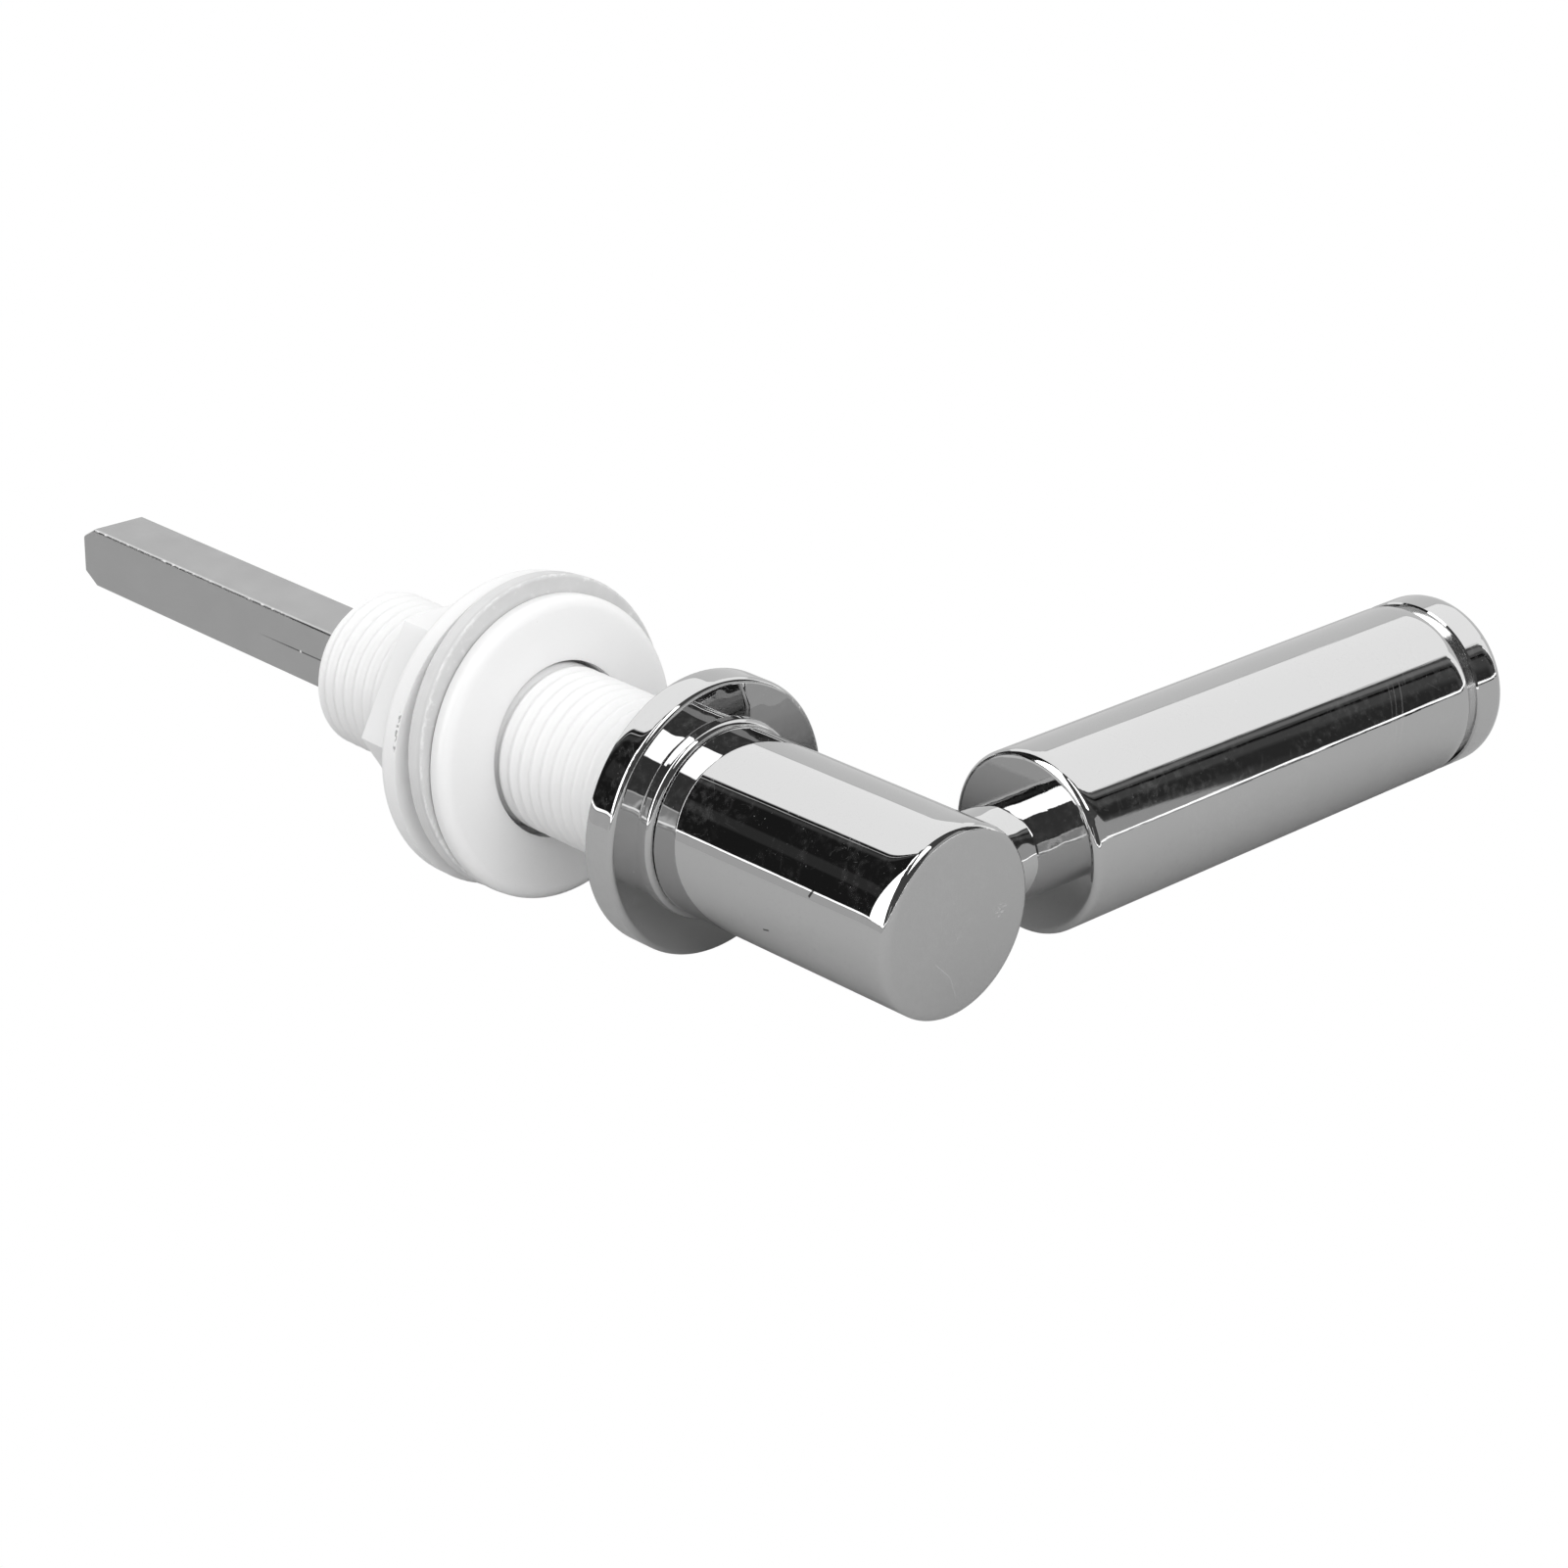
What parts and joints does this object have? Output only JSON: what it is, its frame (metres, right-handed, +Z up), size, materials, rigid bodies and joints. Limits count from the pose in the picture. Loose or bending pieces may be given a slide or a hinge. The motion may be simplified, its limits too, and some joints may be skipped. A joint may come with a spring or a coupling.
{
  "type": "cistern lever",
  "caption": "Chrome cistern flush lever with a round hub and bar handle, on a square spindle with a rose, threaded bush, washers and back nut.",
  "frame": {"origin": "centre of the rose's back face, where it meets the outside of the cistern wall", "axes": "+Y along the spindle into the cistern, +X along the handle away from the hub, +Z up"},
  "size_m": [0.1155, 0.1571, 0.0392],
  "materials": {
    "chrome": "polished",
    "steel": "drawn, slightly dull",
    "nylon": "satin",
    "white_plastic": "semi-gloss, moulded",
    "soft_rubber": "cloudy, soft"
  },
  "bodies": {
    "fixings": {"rose": "chrome", "thrust_washer": "nylon", "threaded_bush": "white_plastic", "front_washer": "white_plastic", "soft_washer": "soft_rubber", "back_nut": "white_plastic"},
    "lever": {"hub": "chrome", "neck_collar": "chrome", "handle_stud": "steel", "handle_barrel": "chrome", "handle_end_cap": "chrome", "spindle": "steel", "grub_screw": "steel", "circlip": "steel"}
  },
  "joints": [
    {"name": "lever_turn", "type": "hinge", "parent": "fixings", "child": "lever", "pos_m": [0, 0, 0], "axis": [0, 1, 0], "range_deg": [0, 40]}
  ]
}
